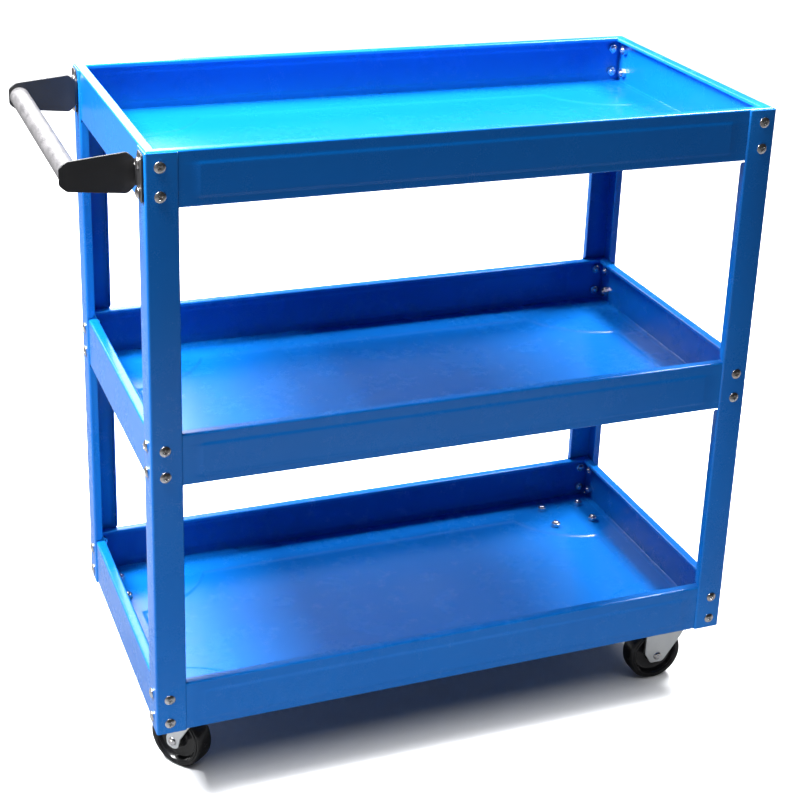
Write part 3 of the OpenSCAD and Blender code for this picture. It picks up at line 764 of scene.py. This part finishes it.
across_cart = Matrix.Rotation(math.radians(-90), 4, "X")
caster_at = {"fl": (caster_in, caster_in), "bl": (caster_in, cart_d - caster_in),
             "fr": (cart_l - caster_in, caster_in), "br": (cart_l - caster_in, cart_d - caster_in)}


def caster_piece(kind, corner, word, part, place, finish, body, crease=42.0):
    """One piece of a caster, standing for the CAD node of its kind at that corner."""
    node = kind + "_" + corner
    piece(node + "_" + word, turned(part, place), finish, body, [node], crease)


for corner, (x, y) in caster_at.items():
    spot = Matrix.Translation((x, y, 0))
    if corner in heading:
        turn = spot @ Matrix.Rotation(math.radians(heading[corner]), 4, "Z")
        axle_at = turn @ Matrix.Translation((trail, 0, axle))
        carrier = "swivel_" + corner
        plate_and_race = joined(top_plate, race)
        fork = joined(crown, both_cheeks(swivel_outline, ((trail, axle), axle_hole)))
        caster_piece("swivel_plate", corner, "pressing", plate_and_race, spot, caster_zinc,
                     "frame")
        caster_piece("kingpin", corner, "rivet", rivet_foot, spot, bright_zinc, "frame")
        caster_piece("swivel_fork", corner, "pressing", fork, turn, caster_zinc, carrier)
    else:
        axle_at = spot @ Matrix.Translation((0, 0, axle))
        carrier = "frame"
        bracket = joined(top_plate, both_cheeks(rigid_outline, ((0, axle), axle_hole)),
                         flange_strip(-17, axle + 6, -3, 1), flange_strip(-17, axle + 6, -3, -1))
        caster_piece("rigid_bracket", corner, "pressing", bracket, spot, caster_zinc, carrier)
    lying = axle_at @ across_cart
    roller = "roller_" + corner
    caster_piece("axle", corner, "rivet", rivet, lying, bright_zinc, carrier)
    caster_piece("bush", corner, "tube", bush, lying, plain_steel, carrier)
    caster_piece("wheel", corner, "moulding", wheel, lying, wheel_black, roller, 30.0)

# Four bolts stand up through each caster plate and the low tray's floor.
bolts, nuts = [], []
for x, y in caster_at.values():
    for dx in (-bolt_x / 2, bolt_x / 2):
        for dy in (-bolt_y / 2, bolt_y / 2):
            spin += 1
            angle = Matrix.Rotation(math.radians(spin * 47 % 90), 4, "Z")
            full = plate_t + tray_t + nut_h + screw_end
            bolt = joined(head, thread(full, full - screw_end - 1.0))
            bolts.append(turned(bolt, Matrix.Translation((x + dx, y + dy, -plate_t)) @ angle))
            nuts.append(turned(nut, Matrix.Translation((x + dx, y + dy, tray_t)) @ angle))
piece("caster_bolts_set", joined(*bolts), bright_zinc, "frame", ["caster_bolts"],
      crease=50.0)
piece("caster_nuts_set", joined(*nuts), bright_zinc, "frame", ["caster_nuts"],
      crease=28.0)

# Pieces that keep their CAD shape: the bar in the grip and the race balls.
for node in ("handle_bar", "race_balls_fl", "race_balls_bl"):
    body = frame["nodes"][node]
    body.data.materials.clear()
    body.data.materials.append(plain_steel)
    body.data.shade_smooth()

# ---- Floor, light and camera ----------------------------------------------
# A pale sweep of floor and a dim one under it that only throws light back,
# in a white room. Soft lamps hang over the cart, at its ends and behind it.

ground = cad_lo[2]
pale = Finish("pale_floor", Metallic=0.0)
mist = pale.noise(3.0, 3.0, 0.5)
shade = pale.blend(mist, (0.86, 0.87, 0.89, 1.0), (0.89, 0.90, 0.92, 1.0))
pale_floor = pale.feed(Base_Color=shade, Roughness=0.7 + mist * 0.1)
dull = Finish("dull_floor", Metallic=0.0)
soil = dull.noise(3.0, 3.0, 0.5)
along = dull.make("ShaderNodeSeparateXYZ", None, {0: dull.spot()})
deep = dull.make("ShaderNodeSeparateXYZ", None, {0: dull.spot()}, out=1)
# Painted pools of light: this floor is brighter near the front and at the left, so that it throws more light
# there.
near = dull.between(deep, -0.62, -0.30)
left_side = dull.between(along, -0.35, -0.75)
painted_bounce_light = (near * 0.08).or_more(left_side * 0.05) + 0.022
dull_floor = dull.feed(Base_Color=dull.blend(painted_bounce_light, (0.0, 0.0, 0.0, 1.0), (0.98, 0.99, 1.0, 1.0)),
                       Roughness=0.7 + soil * 0.1)
floors = bpy.data.collections.new("floors")
wide = 30.0
square = [(-wide, -wide), (wide, -wide), (wide, wide), (-wide, wide)]
for name, finish, drop in (("floor_seen", pale_floor, 0.0), ("floor_bounce", dull_floor, 0.0005)):
    mesh = bpy.data.meshes.new(name)
    mesh.from_pydata([(x, y, ground - drop) for x, y in square], [], [(0, 1, 2, 3)])
    mesh.materials.append(finish)
    sweep = bpy.data.objects.new(name, mesh)
    bpy.context.scene.collection.objects.link(sweep)
    seen = name == "floor_seen"
    sweep.visible_camera = seen
    sweep.visible_diffuse = sweep.visible_glossy = sweep.visible_shadow = not seen
    floors.objects.link(sweep)

room = bpy.data.worlds.new("studio_room")
bpy.context.scene.world = room
room.use_nodes = True
inside = Nodes(room.node_tree)
smooth = {"interpolation_type": "SMOOTHSTEP"}
way = inside.make("ShaderNodeTexCoord")
sideways = inside.make("ShaderNodeSeparateXYZ", None, {0: way})
backwards = inside.make("ShaderNodeSeparateXYZ", None, {0: way}, out=1)
lefts = inside.make("ShaderNodeMapRange", smooth, {0: sideways, 1: -0.2, 2: -0.85, 3: 0.0, 4: 0.16})
backs = inside.make("ShaderNodeMapRange", smooth, {0: backwards, 1: -0.1, 2: 0.6, 3: 0.02, 4: 0.14})
seen = inside.make("ShaderNodeLightPath", out="Is Camera Ray")
level = inside.make("ShaderNodeMix", {"data_type": "FLOAT"}, {0: seen, 2: lefts + backs, 3: 1.0})
glow = inside.make("ShaderNodeBackground", None, {0: (1.0, 1.0, 1.0, 1.0), 1: level})
inside.make("ShaderNodeOutputWorld", None, {0: glow})


def soft_box(name, place, aim, size, power):
    """A rectangular studio lamp aimed at a point."""
    box = bpy.data.lights.new(name, "AREA")
    box.shape, box.size, box.size_y, box.energy = "RECTANGLE", size[0], size[1], power
    lamp = bpy.data.objects.new(name, box)
    lamp.location = place
    lamp.rotation_euler = (Vector(place) - Vector(aim)).to_track_quat("Z", "Y").to_euler()
    bpy.context.scene.collection.objects.link(lamp)
    return lamp


soft_box("overhead", (-0.62, 0.22, 2.05), (0.0, 0.05, 0.6), (1.5, 0.75), 84.0)
soft_box("left_window", (-1.20, -0.02, 2.0), (-0.30, 0.0, 0.25), (0.5, 0.6), 130.0)
soft_box("right_window", (1.15, 0.30, 1.95), (0.32, 0.0, 0.2), (0.5, 0.6), 80.0)
soft_box("back_window", (-0.25, 1.9, 1.35), (-0.15, 0.0, 0.4), (1.0, 0.8), 21.0)
off_floor = bpy.data.collections.new("off_floor")
for sweep in floors.objects:
    off_floor.objects.link(sweep)
for linked in off_floor.collection_objects:
    linked.light_linking.link_state = "EXCLUDE"
for fill in (soft_box("front_fill", (-0.05, -0.85, 0.03), (0.0, -0.17, 0.06), (1.4, 0.3), 8.0),
             soft_box("back_fill", (0.05, 1.45, 1.30), (0.0, 0.0, 0.3), (1.6, 0.7), 42.0)):
    fill.visible_camera = fill.visible_glossy = False
    fill.light_linking.receiver_collection = off_floor

wash = bpy.data.lights.new("floor_wash", "SUN")
wash.energy, wash.angle = 3.7, math.radians(70)
lamp = bpy.data.objects.new("floor_wash", wash)
lamp.rotation_euler = Vector((0.12, -0.08, 1.0)).to_track_quat("Z", "Y").to_euler()
lamp.light_linking.receiver_collection = floors
bpy.context.scene.collection.objects.link(lamp)

scene = bpy.context.scene
scene.view_settings.view_transform = "Standard"
scene.view_settings.look = "None"

eye = bpy.data.cameras.new("camera")
eye.sensor_width, eye.lens = 36.0, 75.866
eye.shift_x, eye.shift_y = -0.05, -0.15
eye.clip_start, eye.clip_end = 0.05, 200.0
camera = bpy.data.objects.new("camera", eye)
azimuth, drop, roll = math.radians(67.177), math.radians(20.844), math.radians(2.502)
ahead = Vector((math.cos(drop) * math.cos(azimuth), math.cos(drop) * math.sin(azimuth), -math.sin(drop)))
right = Vector((math.sin(azimuth), -math.cos(azimuth), 0.0))
up = right.cross(ahead)
across = right * math.cos(roll) + up * math.sin(roll)
upright = up * math.cos(roll) - right * math.sin(roll)
turn = Matrix((across, upright, -ahead)).transposed().to_4x4()
camera.matrix_world = Matrix.Translation((-0.6178, -1.6315, 1.168)) @ turn
bpy.context.scene.collection.objects.link(camera)
scene.camera = camera
